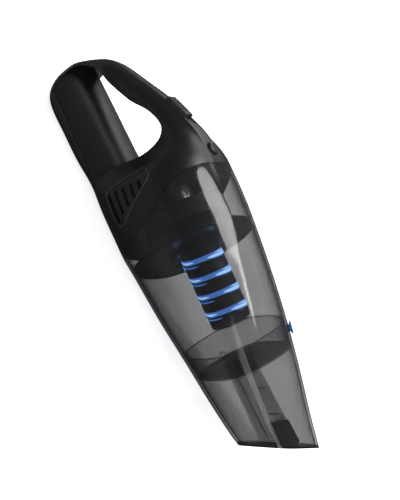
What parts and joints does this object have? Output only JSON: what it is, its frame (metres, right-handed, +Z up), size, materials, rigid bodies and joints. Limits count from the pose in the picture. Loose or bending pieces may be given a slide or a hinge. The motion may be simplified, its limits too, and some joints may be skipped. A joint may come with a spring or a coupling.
{
  "type": "handheld vacuum",
  "caption": "Cordless handheld vacuum with a black loop-handle motor body, a smoked see-through dust bin and a slanted nozzle.",
  "frame": {"origin": "bottom centre of the bounding box, on the surface the vacuum rests on", "axes": "+X towards the nozzle, +Z up, +Y to the left of a user who points the nozzle forward"},
  "size_m": [0.4312, 0.1166, 0.125],
  "materials": {
    "housing": "satin black moulded plastic",
    "carrier": "semi-gloss black moulded plastic",
    "inner_plastic": "plain black engineering plastic, unseen in use",
    "controls": "semi-gloss dark grey plastic",
    "screw_steel": "zinc-plated steel",
    "spring_steel": "spring wire",
    "motor_steel": "zinc-plated steel can and laminations",
    "magnet": "sintered ferrite",
    "cell_sleeve": "shrink sleeve on cylindrical cells",
    "board": "circuit board with solder mask",
    "foam": "open-cell exhaust foam",
    "seal_rubber": "soft black seal rubber",
    "filter_mesh": "fine woven black mesh",
    "filter_paper": "pleated filter paper",
    "swirl_blue": "glossy blue bands with pale highlights",
    "smoked_bin": "smoked transparent grey plastic, glossy",
    "smoked_insert": "smoked transparent grey plastic",
    "rim_black": "gloss black plastic",
    "bristle": "black nylon bristle",
    "flap_rubber": "soft blue-black rubber",
    "plug_blue": "blue rubber"
  },
  "bodies": {
    "body": {"housing_right": "housing", "housing_left": "housing", "housing_screws": "screw_steel", "filter_carrier": "carrier", "carrier_gasket": "seal_rubber", "motor_mount": "inner_plastic", "motor_can": "motor_steel", "motor_end_cap": "inner_plastic", "motor_magnets": "magnet", "fan_cover": "inner_plastic", "fan_inlet_ring": "inner_plastic", "vent_foam": "foam", "battery_cells": "cell_sleeve", "battery_tray": "inner_plastic", "charge_board": "board", "charge_socket": "inner_plastic", "switch_module": "inner_plastic", "button_guide": "inner_plastic", "button_spring": "spring_steel"},
    "rotor": {"motor_shaft": "screw_steel", "motor_armature": "motor_steel", "fan_impeller": "inner_plastic", "impeller_nut": "screw_steel"},
    "slider": {"power_slider": "controls"},
    "release": {"release_button": "controls", "latch_arm": "inner_plastic"},
    "filter": {"filter_base": "carrier", "filter_cage": "carrier", "filter_sleeve": "filter_mesh", "filter_core": "filter_paper", "filter_cap": "carrier", "swirl_bands": "swirl_blue"},
    "bin": {"dust_bin": "smoked_bin", "bin_partition": "smoked_insert", "suction_duct": "smoked_insert", "nozzle_rim": "rim_black", "brush_holder": "rim_black", "brush_bristles": "bristle", "bin_catch": "smoked_insert"},
    "flap": {"flap_valve": "flap_rubber", "flap_pin": "screw_steel"},
    "plug": {"drain_plug": "plug_blue"}
  },
  "joints": [
    {"name": "bin_slide", "type": "slide", "parent": "body", "child": "bin", "axis": [1, 0, 0], "range_m": [0, 0.15]},
    {"name": "fan_spin", "type": "hinge", "parent": "body", "child": "rotor", "pos_m": [-0.03564, 0, 0.065], "axis": [1, 0, 0], "continuous": true},
    {"name": "power_slide", "type": "slide", "parent": "body", "child": "slider", "axis": [0.9367, 0, 0.3502], "range_m": [0, 0.008]},
    {"name": "release_press", "type": "slide", "parent": "body", "child": "release", "axis": [0, 0, -1], "range_m": [0, 0.003], "stiffness_N_per_m": 300, "deforming": ["button_spring"]},
    {"name": "filter_twist", "type": "hinge", "parent": "body", "child": "filter", "pos_m": [-0.00264, 0, 0.065], "axis": [1, 0, 0], "range_deg": [0, 30]},
    {"name": "flap_swing", "type": "hinge", "parent": "bin", "child": "flap", "pos_m": [0.10936, 0, 0.0665], "axis": [0, 1, 0], "range_deg": [0, 60]},
    {"name": "plug_pull", "type": "slide", "parent": "bin", "child": "plug", "axis": [0.1627, 0.4254, 0.8903], "range_m": [0, 0.006]}
  ]
}
